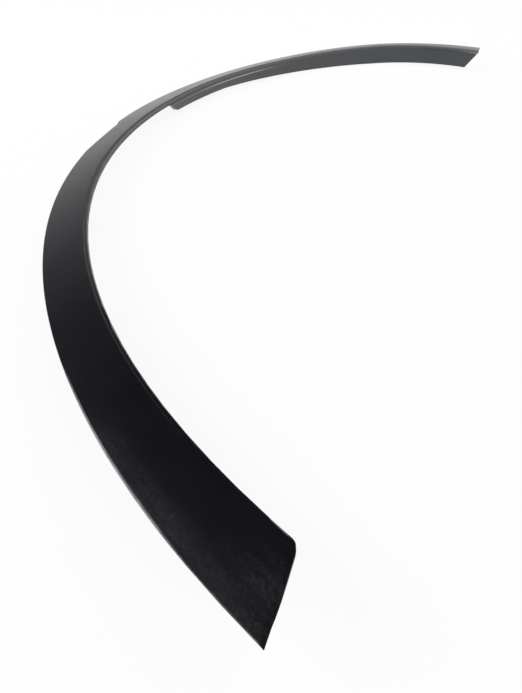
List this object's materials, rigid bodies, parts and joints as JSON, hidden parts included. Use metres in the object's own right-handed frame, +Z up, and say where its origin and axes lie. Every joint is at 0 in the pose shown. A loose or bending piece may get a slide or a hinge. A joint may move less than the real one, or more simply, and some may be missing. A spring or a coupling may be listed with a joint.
{
  "type": "wheel arch trim",
  "caption": "Curved moulded strip that edges a car's wheel arch: satin black show face, rolled nose, return flange behind and slotted clip seats on the back.",
  "frame": {"origin": "middle of the outer box, on the floor it lies on", "axes": "+Z up, away from the car's side: the show face looks up; +X along the straight line between the two ends, towards the tightly curved end; +Y towards the crown of the arch"},
  "size_m": [0.7688, 0.2842, 0.0251],
  "materials": {
    "trim_plastic": "satin black moulded plastic, fine grain, dusty"
  },
  "bodies": {
    "root": {"arch_trim": "trim_plastic"}
  },
  "joints": []
}
